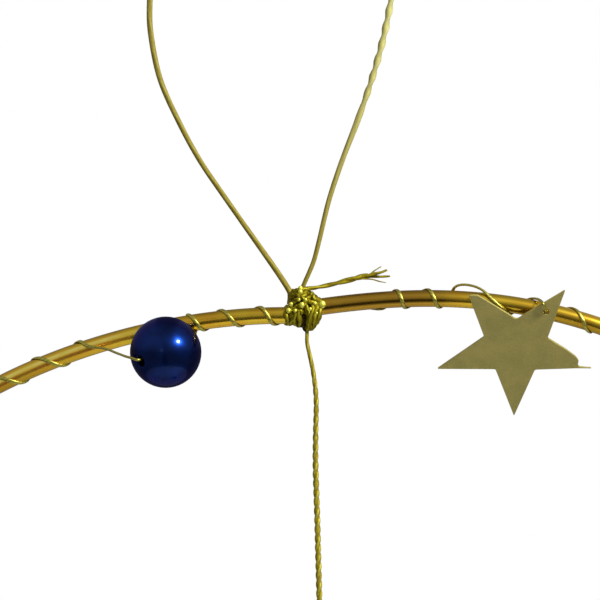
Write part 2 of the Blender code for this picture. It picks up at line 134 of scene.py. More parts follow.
# How a bead and a star sit on the rod, and how their edges, corners and holes are made
BEAD_DROP = 0.336
BEAD_SWING = math.radians(44)
BEAD_DIP = math.radians(6)
BORE_LIP = 0.0003
STAR_WAIST = 0.408
STAR_EDGE = 0.00006
STAR_CORNER = 0.00035
STAR_DROP = 0.503
STAR_TILT = math.radians(30.5)
STAR_ROLL = math.radians(10)
CARD_GAP = 0.00003
THREAD_HOLE = 0.0012
THREAD_HOLE_AT = 0.636
THREAD_HOLE_WAY = math.radians(54)
TIE_HOLE = 0.0020
TIE_HOLE_BELOW_TIP = 0.0046

# The first star, cut by hand, as shares of its radius: its right arm has lost its tip but for a sliver of
# the lower edge, and the tip of its upper left arm is blunt
CHIPPED_STAR = [
    (0.010, -1.015), (0.256, -0.324), (0.753, -0.290), (0.959, -0.283), (0.848, -0.274), (0.798, -0.267),
    (0.782, -0.237), (0.793, -0.178), (0.747, -0.114), (0.684, -0.065), (0.646, -0.030), (0.400, 0.139),
    (0.596, 0.823), (0.091, 0.456), (0.045, 0.412), (0.014, 0.402), (-0.020, 0.412), (-0.056, 0.447),
    (-0.466, 0.724), (-0.578, 0.720), (-0.381, 0.138), (-0.959, -0.346), (-0.234, -0.330),
]

# Distances between the points of each line, the pitches of the cords' twists, and twists in radians a metre
THREAD_STEP = 0.00022
LOOP_STEP = 0.00016
PENDANT_STEP = 0.00012
TAIL_STEP = 0.00010
LOOSE_PITCH = 0.0066
PENDANT_PITCH = 0.00358
TAIL_PITCH = 0.0075
LASHING_PITCH = 0.0037
KNOT_PITCH = 0.0026
TIE_PITCH = 0.0019
LOOP_TWIST = 18.0
FRAY_TWIST = 1300
# Thickness of the lashing's, the knot's and the tie's turns, as shares of their cord's
LASHING_SHARE = 1.16
KNOT_SHARE = 1.08
TIE_SHARE = 0.92

# Route of the loop (x, z) from inside the knot and back to it
LOOP_ROUTE = MM * np.array([
    (-0.1, -86.2), (0.05, -84.7), (-0.3, -83.3), (-2.9, -79.3), (-6.9, -73.6), (-12.4, -65.8), (-17.7, -58),
    (-21.9, -50.2), (-25.3, -42.4), (-27, -34.6), (-27.4, -28.7), (-26.7, -21.9), (-23.8, -14.1),
    (-18.3, -7.3), (-9.8, -1.6), (0, 0.5), (8.8, -1.4), (15.6, -6.7), (19.5, -13.7), (20.6, -20.9),
    (19.7, -26.8), (18.1, -34.6), (15.9, -42.4), (13.2, -50.2), (10.2, -58), (7.6, -65.8), (5.7, -73.6),
    (4.7, -77.5), (3.8, -79.8), (2.7, -82.3), (2.1, -84),
])
# The loop's width at shares of its length, from its left end to its right one, as shares of its cord's
LOOP_WIDTHS_AT = [0.00, 0.03, 0.10, 0.25, 0.42, 0.57, 0.62, 0.76, 0.81, 0.86, 1.00]
LOOP_WIDTHS = [1.25, 1.25, 1.08, 1.15, 1.26, 1.25, 1.50, 1.50, 1.36, 1.10, 0.92]
# Where the loop is loosely twisted
LOOSE_AT = [0.00, 0.58, 0.62, 0.80, 0.84, 1.00]
LOOSE = [0.0, 0.0, 1.0, 1.0, 0.0, 0.0]
# Route of the cord (x, z) from the lashing's lower side to the pendant bead
PENDANT_ROUTE = MM * np.array([
    (3.1, -90), (3.3, -91.8), (3.3, -93.6), (3.7, -95.6), (4.4, -98.8), (4.9, -102.4), (5.1, -105.8),
    (5, -110.6), (4.95, -116.5), (5.1, -122.3), (5.3, -128.2), (5.5, -136), (5.7, -143.8), (5.75, -151),
    (5.75, -159), (5.75, -167), (5.75, -175), (5.75, -183.4),
])
# The pendant cord's width, as shares of its thickness, and its groove's depth at distances from its start
PENDANT_WIDTHS_AT = [0.000, 0.003, 0.008, 0.014, 0.030]
PENDANT_WIDTHS = [0.95, 0.90, 1.06, 1.22, 1.46]
PENDANT_GROOVES_AT = [0.007, 0.012, 0.028]
PENDANT_GROOVES = [0.05, 0.22, 0.33]
# Route of the lashing's loose end (x, y, z), and half its width in millimetres at shares of its length
TAIL_ROUTE = MM * np.array([
    (2.2, -1.2, -84), (3.3, -1, -83.2), (4.7, -0.6, -83), (6.8, 0, -82.6), (9, 0, -82.1), (10.9, 0, -81.6),
    (12.5, 0, -81.2), (14, 0, -80.7), (15.2, 0, -80.5),
])
TAIL_HALF_AT = [0.0, 0.5, 0.8, 1.0]
TAIL_HALF = [0.40, 0.48, 0.62, 0.38]
# Its four frayed strands, each with its thickness and route, in millimetres
FRAYS = [
    (0.34, [(12.5, 0.2, -81), (15.2, 0.5, -80.5), (16.5, 0.8, -79.6), (17.8, 1, -78.8)]),
    (0.7, [(13, -0.1, -81.1), (15.8, -0.3, -80.4), (17.6, -0.5, -80), (18.9, -0.6, -79.5)]),
    (0.62, [(12.8, 0, -81.3), (15.5, 0.2, -80.8), (17.8, 0.2, -80.8), (19.5, 0, -80.7)]),
    (0.3, [(13.5, -0.2, -81.2), (15.8, -0.4, -81.3), (17.3, -0.6, -81.7), (18.7, -0.8, -82)]),
]
# Turns of the lashing, the knot and the pendant's tie: upper end (x, z), lower end (x, z) and how far they
# stand out in front. The tie's are measured from its knot, which is a little below the top of its solid.
# Each turn waves a little along the rod.
LASHING_TURNS = MM * np.array([
    (-0.6, -86.8, -0.6, -89.8, 2), (0.2, -86.1, 0.2, -89.9, 2.2), (1, -85.5, 1, -90, 2.4),
    (2, -85, 1.7, -90.2, 2.5), (3.2, -84.6, 3.6, -91, 2.6), (4.4, -84.8, 3.9, -90.9, 2.9),
    (5.5, -85.3, 4.4, -90.5, 2.9), (6.2, -85.9, 5, -89.9, 2.6),
])
KNOT_TURNS = MM * np.array([
    (3.4, -83.2, 0.5, -83.7, 1.6), (3.7, -84.1, 0.4, -84.6, 2), (3.4, -83.6, 0.3, -86.3, 2.6),
    (0.6, -84, 5.8, -86.6, 2.9), (4.3, -84.5, 1, -87.6, 3.1), (-0.1, -86.8, 3.4, -88, 2.7),
    (3.8, -84, 6, -86, 2.2),
])
TIE_TURNS = MM * np.array([
    (-0.9, 0.5, 0.9, 0.3, 0.9), (-0.9, -0.3, 0.9, -0.6, 0.9), (-0.4, 0.9, 0.5, -0.9, 0.9),
])
KNOT_BELOW_TOP = 0.0007
TURN_WAVE = 0.00022
# Painted shade: near-black lumps inside the lashing, which show as its shaded inside between the turns: (x,
# y, z) and half sizes
SHADE_CORES = MM * np.array([
    (2.1, 0, -85.1, 1.8, 2.1, 2), (2.8, 0, -88.2, 3, 2.3, 2.6), (3.1, 0, -90.4, 0.8, 1, 1.2),
])
# Bulges of foil on the lashing's front, whose bright colour is a painted highlight: (x, y, z) and half size
GLINT_BULGES = MM * np.array([
    (6.2, -2.6, -86.2, 0.7), (2, -1.9, -83.1, 0.46), (2, -2.4, -83.8, 0.46), (2.3, -3.4, -86.3, 0.5),
    (-0.3, -2.5, -87.4, 0.46), (1, -3.1, -87.4, 0.34), (0.2, -2.4, -86.2, 0.4), (1.7, -3.1, -85.3, 0.32),
    (3, -3.3, -85.3, 0.32), (4.8, -3.1, -86, 0.36), (3.9, -3.6, -87.1, 0.32), (5.1, -3, -87.9, 0.3),
])
# Thread points (along the rod, outward, in front): the slack bow before a star, and the one before a bead
STAR_BOW = MM * np.array([
    (-13.7, 1.5, -1.2), (-13.4, 2.2, -0.6), (-12.7, 2.7, -0.2), (-11.5, 2.9, 0.1), (-10.2, 2.8, 0.4),
    (-9, 2.5, 0.7), (-7.9, 1.95, 1.1), (-7, 1.25, 1.5), (-5.9, 0.3, 1.9), (-4.8, -0.6, 1.83),
    (-3.6, -1.3, 1.4), (-2.5, -1.9, 0), (-1.5, -1.4, -1.3), (-0.4, 0, -1.9), (0.8, 1.3, -1.4),
    (1.5, 1.8, -0.7),
])
BEAD_BOW = MM * np.array([
    (-13.3, -0.4, 2.4), (-11.4, -1.3, 4), (-9.7, -2.4, 7), (-8.7, -3, 9), (-7.7, -3.6, 10.6),
    (-6.7, -4.1, 11.8),
])


def length(name, description, default):
    """A size that a user can change, in metres."""
    return bpy.props.FloatProperty(name=name, description=description, default=default, unit="LENGTH")


def colour(name, description, default):
    """A colour that a user can change."""
    return bpy.props.FloatVectorProperty(
        name=name, description=description, default=default, subtype="COLOR"
    )


class MobileSizes(bpy.types.PropertyGroup):
    """Sizes of the mobile's materials."""

    rod: length("Rod", "Thickness of the hoop's rod", 0.0033)
    thread: length("Thread", "Thickness of the winding thread", 0.00055)
    bead: length("Bead", "Diameter of a bead", 0.0137)
    bore: length("Bore", "Width of the hole through a bead", 0.0020)
    star: length("Star", "From a star's middle to its tips", 0.0158)
    card: length("Card", "Thickness of a star", 0.0005)
    cord: length("Cord", "Thickness of the hanging cord", 0.0010)
    pendant_cord: length("Pendant cord", "Thickness of the cord below the hoop", 0.00085)


class MobileColours(bpy.types.PropertyGroup):
    """Colours of the mobile's materials."""

    rod: colour("Rod gold", "Colour of the rod", (0.82, 0.56, 0.045))
    # Darkened, this colour is also the painted shade on the rod's underside
    rod_bronze_and_shade: colour("Rod bronze", "Warmer patches on the rod, and darkened, painted shade on its underside", (0.76, 0.43, 0.034))
    # Painted shade beside the weld, and darkened, the rod's painted dark reflection band and top edge
    rod_painted_shade: colour("Rod painted shade", "Painted shade beside the weld", (0.46, 0.25, 0.03))
    # Painted highlight on the rod's left
    rod_painted_highlight: colour("Rod painted highlight", "Painted highlight along the rod's left", (1.0, 0.86, 0.20))
    # Painted orange reflection band on the rod's left
    rod_painted_reflection: colour("Rod painted reflection", "Painted orange reflection band on the rod's left", (0.90, 0.40, 0.05))
    thread: colour("Thread gold", "Colour of the thread", (0.50, 0.44, 0.055))
    cord: colour("Cord gold", "Colour of the cord", (0.34, 0.257, 0.007))
    cord_pale: colour("Cord pale top", "Paler top of the loop", (0.57, 0.54, 0.20))
    # Painted glints on the cords, and the colour of the foil bulges
    glint: colour("Cord glint", "Painted glints in the cord and on the foil bulges", (0.74, 0.72, 0.07))
    bead: colour("Bead blue", "Colour of the pearl", (0.002, 0.018, 0.130))
    card: colour("Star olive", "Colour of the stars", (0.395, 0.330, 0.086))
    floor: colour("Floor", "Colour of the floor", (0.60, 0.60, 0.585))


class Socket:
    """An output of a node, or a tree to make nodes in. + - * and / on an output add Math nodes."""

    def __init__(self, tree, output=None):
        self.tree = tree
        self.output = output

    def node(self, kind, values=None, output=0, stops=None, **settings):
        """Adds a node, sets its settings, then its ramp's stops, then sets or links its sockets."""
        made = self.tree.nodes.new(kind)
        for name, setting in settings.items():
            setattr(made, name, setting)
        if stops:
            ramp = made.color_ramp
            while len(ramp.elements) < len(stops):
                ramp.elements.new(1.0)
            for element, (place, shade) in zip(ramp.elements, stops):
                element.position = place
                element.color = (shade, shade, shade, 1.0)
        self.fill(made.inputs, values or {})
        return Socket(self.tree, made.outputs[output]) if made.outputs else made

    def fill(self, inputs, values):
        """Sets or links sockets."""
        for name, value in values.items():
            if isinstance(value, Socket):
                self.tree.links.new(value.output, inputs[name])
            else:
                inputs[name].default_value = value

    def parts(self):
        """The X, Y and Z of this place or colour."""
        x = self.node("ShaderNodeSeparateXYZ", {0: self})
        return [Socket(self.tree, output) for output in x.output.node.outputs]

    def place(self):
        """The place on the object."""
        return self.node("ShaderNodeTexCoord", output=3)

    def noise(self, place, scale, detail, roughness=0.5):
        values = {"Vector": place, "Scale": scale, "Detail": detail, "Roughness": roughness}
        return self.node("ShaderNodeTexNoise", values)

    def bump(self, height, strength, depth):
        return self.node("ShaderNodeBump", {"Height": height, "Strength": strength, "Distance": depth})

    def maths(self, operation, *others):
        values = dict(enumerate((self, *others)))
        return self.node("ShaderNodeMath", values, operation=operation)

    def __add__(self, other):
        return self.maths("ADD", other)

    def __sub__(self, other):
        return self.maths("SUBTRACT", other)

    def __mul__(self, other):
        return self.maths("MULTIPLY", other)

    def __truediv__(self, other):
        return self.maths("DIVIDE", other)

    def __rsub__(self, other):
        return self.maths("MULTIPLY_ADD", -1.0, other)

    __radd__ = __add__

    def blend(self, first, second):
        """The first colour where this value is 0 and the second where it is 1."""
        values = {0: self, 6: first, 7: second}
        return self.node("ShaderNodeMix", values, output=2, data_type="RGBA")

    def eased(self, low, high):
        """0 below low and 1 above high, with a smooth step between."""
        values = {"Value": self, "From Min": low, "From Max": high}
        return self.node("ShaderNodeMapRange", values, interpolation_type="SMOOTHSTEP")

    def band(self, rise, top, fall, end):
        """0 below rise and above end, and 1 from top to fall, with smooth steps between."""
        return self.eased(rise, top) * (1.0 - self.eased(fall, end))

    def ridges(self):
        """0 at each whole number and 1 halfway between two, with straight slopes."""
        return self.maths("PINGPONG", 0.5) * 2.0


def rgba(shade, share=1.0):
    """A colour with its alpha, and with this share of its red, green and blue."""
    return (*(np.array(shade) * share), 1.0)


class Material(Socket):
    """A material, which makes nodes in its tree."""

    def __init__(self, name):
        self.made = bpy.data.materials.new(name)
        self.made.use_nodes = True
        super().__init__(self.made.node_tree)

    def dress(self, **sockets):
        """Sets or links the shader's sockets, whose names are written with underscores."""
        values = {name.replace("_", " "): value for name, value in sockets.items()}
        self.fill(self.tree.nodes["Principled BSDF"].inputs, values)
        return self.made


def round_the_bar(nodes, round_scale, along_scale):
    """A seamless place on a bar's surface from its UV map, round it on a circle and along it, and the share
    round it and the distance along it that the map holds."""
    around, along, _ = nodes.node("ShaderNodeUVMap", uv_map="bar").parts()
    angle = around * math.tau
    x, y = angle.maths("COSINE") * round_scale, angle.maths("SINE") * round_scale
    return nodes.node("ShaderNodeCombineXYZ", {0: x, 1: y, 2: along * along_scale}), around, along


def rod_material(colours):
    """Gold plate on a drawn rod: faint streaks along it and warmer patches. Painted shade darkens a browner
    stretch to the right of the weld, with a painted dark reflection band along its front, and its underside
    away from the weld. At its left its surface is rougher, and a painted highlight and a painted orange
    reflection band run along its front, below painted shade on its top edge."""
    nodes = Material("gold_plate")
    ring, around, _ = round_the_bar(nodes, 3.4, 45.0)
    at = nodes.place()
    marks, patches = nodes.noise(ring, 1.6, 3.0), nodes.noise(at, 150.0, 2.0)
    warm, uneven = (patches * 0.65 + marks * 0.35).eased(0.42, 0.60), patches.eased(0.36, 0.60)
    x, _, z = at.parts()
    across, top = x + (patches - 0.5) * 0.012, z.eased(-0.13, -0.12)
    # Painted shade: a browner, darker stretch to the right of the weld
    painted_shade_stretch = top * across.band(0.004, 0.009, 0.024, 0.036)
    left = top * (1.0 - across.eased(-0.034, -0.022))
    # Painted shade on the underside, away from the weld
    painted_underside_shade = around.band(0.53, 0.59, 0.74, 0.82) * across.maths("ABSOLUTE").eased(0.03, 0.06)
    # Painted reflection: a dark band along the front of that stretch
    painted_dark_band = painted_shade_stretch * around.band(0.495, 0.525, 0.570, 0.605) * (0.48 + marks * 0.48)
    # Painted shade along the top edge at the rod's left
    painted_dark_crown = left * (1.0 - around.eased(0.270, 0.400)) * 0.75
    # Painted highlight along the front at the rod's left
    painted_highlight = left * around.band(0.380, 0.445, 0.450, 0.505) * (0.15 + uneven * 0.75)
    # Painted reflection: an orange band below that highlight
    painted_orange_band = left * around.band(0.480, 0.515, 0.540, 0.580) * (0.35 + uneven * 0.5)
    base = warm.blend(rgba(colours.rod), rgba(colours.rod_bronze_and_shade))
    base = (painted_underside_shade * 0.75).blend(base, rgba(colours.rod_bronze_and_shade, 0.45))
    base = (painted_shade_stretch * 0.85).blend(base, rgba(colours.rod_painted_shade))
    base = painted_dark_band.maths("MAXIMUM", painted_dark_crown).blend(base, rgba(colours.rod_painted_shade, 0.25))
    base = painted_orange_band.blend(painted_highlight.blend(base, rgba(colours.rod_painted_highlight)), rgba(colours.rod_painted_reflection))
    return nodes.dress(
        Base_Color=base, Metallic=1.0, Roughness=0.17 + marks * 0.11 + left * 0.10,
        Normal=nodes.bump(patches, 0.16, 0.0003),
    )


def thread_material(colours):
    """Metallised thread: a fine twist of foil round it, with painted shade in the twist's grooves and a
    darker tone in random patches.
    """
    nodes = Material("gold_thread")
    _, around, along = round_the_bar(nodes, 1.0, 1.0)
    twist, patches = (around * 2.0 + along * 1400.0).ridges(), nodes.noise(nodes.place(), 700.0, 3.0)
    # Painted shade in the twist's grooves, and a darker tone in random patches
    base = (twist * 0.6 + patches * 0.5).eased(0.25, 0.8)
    return nodes.dress(
        Base_Color=base.blend(rgba(colours.thread, 0.62), rgba(colours.thread)), Metallic=0.95,
        Roughness=0.48 - patches * 0.16, Coat_Weight=0.6, Coat_Roughness=0.36,
        Normal=nodes.bump(twist, 0.15, 0.00006),
    )


def cord_material(colours, name, stripes, contrast, metal=0.85, deep=1.0, pale_top=False):
    """Yarn of metallic foil: helical filaments with a darker tone in random flecks, and painted glints, a
    brighter and smoother colour on the twist's ridges and at random flecks. With pale_top it is paler
    towards the top of the loop, most of all on its right, and a deep one is darker."""
    nodes = Material(name)
    ring, around, along = round_the_bar(nodes, 2.2, 900.0)
    twist, flecks = (around * 3.0 + along * stripes).ridges(), nodes.noise(ring, 1.4, 4.0, 0.65)
    # Painted glints: a brighter, smoother colour on the twist's ridges and at random flecks
    painted_glints = (twist * 0.35 + flecks * 0.9).eased(0.55 - contrast * 0.1, 0.80) * contrast
    shade = rgba(colours.cord, deep * (0.70 - 0.35 * contrast))
    base = flecks.eased(0.3, 0.55).blend(shade, rgba(colours.cord, deep))
    if pale_top:
        # Paler towards the top of the loop, most of all on its right
        x, _, z = nodes.place().parts()
        pale = z.eased(-0.086, -0.018) * (0.12 + x.eased(-0.012, 0.010) * 0.88)
        base = (pale * (0.82 + twist * 0.18)).blend(base, rgba(colours.cord_pale))
    return nodes.dress(
        Base_Color=painted_glints.blend(base, rgba(colours.glint)), Metallic=metal,
        Roughness=0.70 - painted_glints * 0.30, Normal=nodes.bump(twist * 0.6 + flecks, 0.55, 0.00012),
    )


def foil_glint_material(colours):
    """Flat foil that bulges out of the lashing: smooth, with a brighter colour than the yarn that is a
    painted highlight.
    """
    nodes = Material("foil_painted_glint")
    clouds = nodes.noise(nodes.place(), 1500.0, 3.0)
    base = clouds.eased(0.3, 0.5).blend(rgba(colours.glint, 0.6), rgba(colours.glint))
    return nodes.dress(
        Base_Color=base, Metallic=0.9, Roughness=0.60 - clouds * 0.12, Coat_Weight=1.0, Coat_Roughness=0.45,
        Normal=nodes.bump(clouds, 0.3, 0.0002),
    )


def shadow_material():
    """Painted shade for the lashing's inside: a near-black colour, faintly mottled."""
    nodes = Material("painted_shade_core")
    clouds = nodes.noise(nodes.place(), 2600.0, 3.0).eased(0.35, 0.65)
    base = clouds.blend((0.012, 0.008, 0.002, 1.0), (0.06, 0.045, 0.006, 1.0))
    return nodes.dress(Base_Color=base, Roughness=0.8, Specular_IOR_Level=0.1)


def bead_material(colours):
    """Dark blue pearl lacquer: a metallic base with a faint violet rim, fine flake and a clear coat."""
    nodes = Material("blue_pearl")
    at = nodes.place()
    flake = nodes.node("ShaderNodeTexVoronoi", {"Vector": at, "Scale": 9000.0}, output=1)
    rim = nodes.node("ShaderNodeLayerWeight", {"Blend": 0.35}, output=1).eased(0.35, 0.95)
    clouds = nodes.noise(at, 240.0, 3.0).eased(0.35, 0.65)
    body = clouds.blend(rgba(colours.bead, 0.6), rgba(colours.bead))
    return nodes.dress(
        Base_Color=rim.blend(body, rgba(colours.bead, [8.0, 1.1, 1.2])), Metallic=1.0,
        Roughness=0.27 + flake.parts()[0] * 0.06, Specular_Tint=(0.05, 0.06, 0.45, 1.0), Coat_Weight=0.22,
        Coat_Roughness=0.12,
    )


def card_material(colours):
    """Matte gold card: soft mottling, short fibres and a faint sheen."""
    nodes = Material("gold_card")
    at = nodes.place()
    clouds, grain = nodes.noise(at, 260.0, 5.0, 0.6), nodes.noise(at, 3600.0, 3.0)
    base = (clouds * 0.6 + grain * 0.4).eased(0.38, 0.62)
    return nodes.dress(
        Base_Color=base.blend(rgba(colours.card, [0.80, 0.84, 0.80]), rgba(colours.card)),
        Metallic=0.25, Roughness=0.58 - grain * 0.12, Normal=nodes.bump(grain + clouds, 0.18, 0.00008),
    )


def floor_material(colours):
    """Pale paper floor, faintly mottled."""
    nodes = Material("pale_floor")
    base = nodes.noise(nodes.place(), 6.0, 4.0).blend(rgba(colours.floor, 0.95), rgba(colours.floor))
    return nodes.dress(Base_Color=base, Roughness=0.85)


def circle(count):
    """Angles evenly round a circle."""
    return np.linspace(0.0, math.tau, count, endpoint=False)


def unit(vectors):
    return vectors / np.linalg.norm(vectors, axis=-1, keepdims=True)


def dot(first, second):
    return (first * second).sum(-1, keepdims=True)


def run_along(path):
    """Distance of each point along a line of points from its first."""
    return np.concatenate([[0.0], np.cumsum(np.linalg.norm(np.diff(path, axis=0), axis=1))])


def smooth_line(points, step):
    """Points `step` apart on a smooth curve through the route's points. Each stretch is the cubic that
    passes its two ends with the slopes of the chords between their neighbours."""
    points = np.asarray(points, float)
    route = np.concatenate([[2 * points[0] - points[1]], points, [2 * points[-1] - points[-2]]])
    a, b, c, d = (route[i : len(route) - 3 + i, None] for i in range(4))
    t = np.linspace(0.0, 1.0, 24, endpoint=False)[None, :, None]
    fine = (2 * b + (c - a) * t + (2 * a - 5 * b + 4 * c - d) * t**2 + (3 * b - a - 3 * c + d) * t**3) / 2
    fine = np.concatenate([fine.reshape(-1, points.shape[1]), points[-1:]])
    run = run_along(fine)
    even = np.linspace(0.0, run[-1], max(2, round(run[-1] / step) + 1))
    return np.stack([np.interp(even, run, fine[:, k]) for k in range(points.shape[1])], -1)


def in_plane(pairs):
    """Points (x, 0, z) from pairs (x, z)."""
    pairs = np.asarray(pairs, float)
    return np.stack([pairs[:, 0], 0 * pairs[:, 0], pairs[:, 1]], -1)


def hoop_radius(angle):
    """Distance of the rod from the hoop's centre: a round ring, pulled in at the weld as |sin(angle / 2)|,
    slightly oval beside it, with a small step at the weld itself that fades to both sides."""
    dent = WELD_DENT * (np.abs(np.sin(angle / 2)) - 2 / math.pi)
    oval = OVAL * np.cos(2 * (angle - OVAL_AT)) * np.exp(-((angle / OVAL_FADE) ** 2))
    along = angle * HOOP_RADIUS
    step = WELD_STEP / 2 * np.tanh(along / WELD_STEP_RUN) * np.exp(-np.abs(along) / WELD_STEP_FADE)
    return HOOP_RADIUS + dent + oval + step


def from_hoop_centre(angle):
    radius, leaned = hoop_radius(angle), angle + HOOP_LEAN
    return np.stack([radius * np.sin(leaned), 0 * radius, radius * np.cos(leaned)], -1)


HOOP_CENTRE = WELD_AT - from_hoop_centre(np.zeros(1))[0]
ANGLES = np.linspace(-math.pi, math.pi, 8001)
RUN = run_along(from_hoop_centre(ANGLES))
HOOP_LENGTH = RUN[-1]
RUN_TO_WELD = RUN[len(ANGLES) // 2]


def hoop_frame(along):
    """(centres, directions along the rod, directions outward) at distances clockwise from the weld."""
    angle = np.interp((along + RUN_TO_WELD) % HOOP_LENGTH, RUN, ANGLES)
    here, ahead = (HOOP_CENTRE + from_hoop_centre(angle + way) for way in (-1e-4, 1e-4))
    forward = unit(ahead - here)
    return (here + ahead) / 2, forward, np.cross(FRONT, forward)


def by_rod(rows):
    """Points from rows of (distance along the hoop, outward from the rod's centreline, in front of it)."""
    rows = np.asarray(rows, float)
    centre, _, out = hoop_frame(rows[:, 0])
    return centre + out * rows[:, 1:2] + FRONT * rows[:, 2:3]


def surface(grid, run, closed=False):
    """A shell from a grid of points: rows of rings, joined by quads, with a fan over each end, or with its
    last row joined to its first. Its UV map is (share round the ring, distance along), and it faces
    outwards."""
    rows, sides = grid.shape[:2]
    i = np.arange(rows if closed else rows - 1)[:, None] + np.zeros(sides, int)
    j = np.arange(sides) + 0 * i
    next_i, next_j = (i + 1) % rows, (j + 1) % sides
    quads = np.stack([i * sides + j, i * sides + next_j, next_i * sides + next_j, next_i * sides + j], -1)
    quads = quads.reshape(-1, 4)
    u = np.stack([j, j + 1, j + 1, j], -1) / sides
    v = np.stack([run[i], run[i], run[i + 1], run[i + 1]], -1)
    quad_uv = np.stack([u, v], -1).reshape(-1, 2)
    points, fans, fan_uv = grid.reshape(-1, 3), np.zeros((0, 3), int), np.zeros((0, 2))
    if not closed:
        ring, last = np.arange(sides), (rows - 1) * sides
        after = (ring + 1) % sides
        hub = len(points)
        points = np.concatenate([points, grid[[0, -1]].mean(axis=1)])
        start = np.stack([hub + 0 * ring, after, ring], -1)
        end = np.stack([hub + 1 + 0 * ring, last + ring, last + after], -1)
        fans = np.concatenate([start, end])
        fan_uv = np.stack([np.tile([0.5, 0.0, 1.0], 2 * sides), np.repeat(run[[0, -1]], 3 * sides)], -1)
    a, b, c, d = (points[quads[:, k]] for k in range(4))
    if (a * np.cross(b, c) + a * np.cross(c, d)).sum() < 0:
        quads, quad_uv = quads[:, ::-1], quad_uv.reshape(-1, 4, 2)[:, ::-1].reshape(-1, 2)
        fans, fan_uv = fans[:, ::-1], fan_uv.reshape(-1, 3, 2)[:, ::-1].reshape(-1, 2)
    return points, quads, fans, quad_uv, fan_uv


def bar(path, side, radius, sides=16, closed=False, flatness=1.0, turn=0.0, plies=0, groove=0.3):
    """The surface of a cord or rod. Each point of the path has a ring of points at
    path + radius (cos a side + sin a up), with up = direction x side. The ring is turned by `turn` radians,
    its height is `flatness` of its width, and between plies it dips by `groove`, as |cos(plies a / 2)|."""
    ends = np.concatenate([path[-1:], path, path[:1]]) if closed else path
    forward = unit(np.gradient(ends, axis=0))[1:-1] if closed else unit(np.gradient(path, axis=0))
    side = np.broadcast_to(side, path.shape)
    side = unit(side - forward * dot(side, forward))
    up = np.cross(forward, side)
    angle = circle(sides)[None, :]
    lobes = 1.0 - groove + groove * np.abs(np.cos(plies * angle / 2)) if plies else 1.0 + 0 * angle
    parts = (radius, turn, flatness)
    radius, turn, flatness = (np.broadcast_to(value, len(path))[:, None] for value in parts)
    x, y = radius * lobes * np.cos(angle), radius * flatness * lobes * np.sin(angle)
    across = (x * np.cos(turn) - y * np.sin(turn))[..., None]
    over = (x * np.sin(turn) + y * np.cos(turn))[..., None]
    grid = path[:, None] + across * side[:, None] + over * up[:, None]
    return surface(grid, run_along(np.concatenate([path, path[:1]]) if closed else path), closed)


def piece(name, shells, material, nodes):
    """An object from shells, which stands for the CAD nodes and rides on the mobile's one body."""
    mesh = bpy.data.meshes.new(name)
    starts = np.cumsum([0] + [len(shell[0]) for shell in shells])
    faces = []
    uv = []
    for start, (_, quads, fans, quad_uv, fan_uv) in zip(starts, shells):
        faces += (quads + start).tolist() + (fans + start).tolist()
        uv += [quad_uv, fan_uv]
    mesh.from_pydata(np.concatenate([shell[0] for shell in shells]), [], faces)
    mesh.uv_layers.new(name="bar").data.foreach_set("uv", np.concatenate(uv).astype(np.float32).ravel())
    mesh.shade_smooth()
    return fit(name, mesh, material, nodes)


def put(name, data):
    """An object with that mesh, curve, camera or light in the scene."""
    made = bpy.data.objects.new(name, data)
    bpy.context.scene.collection.objects.link(made)
    return made


def fit(name, mesh, material, nodes):
    """An object from a finished mesh, in the place of its CAD nodes."""
    mesh.materials.clear()
    mesh.materials.append(material)
    made = put(name, mesh)
    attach(made, "root")
    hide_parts(*nodes)
    return made


def rod_turns(tops, bottoms, reach):
    """Rows of thread points for whole turns, eight to a turn: from each crossing over the rod's outer side
    down its front to the crossing below, and up behind it to the next. The last crossing is left out."""
    tops, bottoms = np.asarray(tops, float), np.asarray(bottoms, float)
    share = np.arange(4) / 4
    down = tops[:-1, None] + (bottoms - tops[:-1])[:, None] * share
    up = bottoms[:, None] + (tops[1:] - bottoms)[:, None] * share
    phase = np.radians(90 - 45 * np.arange(8)) + np.zeros((len(bottoms), 1))
    along = np.concatenate([down, up], axis=1)
    return np.stack([along, reach * np.sin(phase), reach * np.cos(phase)], -1).reshape(-1, 3)


def even_turns(start, end, turns, reach):
    tops = np.linspace(start, end, turns + 1)
    return rod_turns(tops, tops[:-1] + FRONT_SHARE * np.diff(tops), reach)


def turns_between(start, end, reach):
    """Even turns from one place along the hoop to another, at about the usual pitch."""
    return even_turns(start, end, max(1, round((end - start) / THREAD_PITCH)), reach)


def bead_seat(sizes):
    """A bead's centre from the rod's centreline, and its bore's direction, as (along, outward, front)."""
    drop = BEAD_DROP * sizes.bead
    out = (sizes.bead + sizes.rod) / 2 + CLEARANCE
    level = math.cos(BEAD_DIP)
    way = [-level * math.cos(BEAD_SWING), -math.sin(BEAD_DIP), level * math.sin(BEAD_SWING)]
    return np.array([0.0, -drop, math.sqrt(out**2 - drop**2)]), np.array(way)


def bead_passage(seat, sizes, reach):
    """Thread points past a bead: down off the front of the rod in a slack bow, through the bore, out behind
    the bead, up behind the rod and once round it."""
    centre, way = bead_seat(sizes)
    front_mouth, back_mouth = centre + way * sizes.bead / 2, centre - way * sizes.bead / 2
    off_rod = [(-BEFORE_BEAD, reach, 0.0), (-0.0160, 0.88 * reach, 0.0009), (-0.0150, 0.0004, reach)]
    bore = [
        front_mouth + way * 0.0006 + [-0.0001, 0.0006, 0.0], front_mouth - way * 0.0008 + [0.0, 0.0004, 0.0],
        centre, back_mouth - way * 0.0002,
    ]
    back = [
        (0.0058, -0.0024, 0.0022), (0.0061, -0.0020, 0.0007), (0.0061, -0.0013, -0.0013),
        (0.0058, 0.0, -reach), (0.0054, 0.0013, -0.0013),
    ]
    past = rod_turns([0.0051, PAST_BEAD], [0.0080], reach)
    return np.concatenate([off_rod, BEAD_BOW, bore, back, past]) + [seat, 0.0, 0.0]


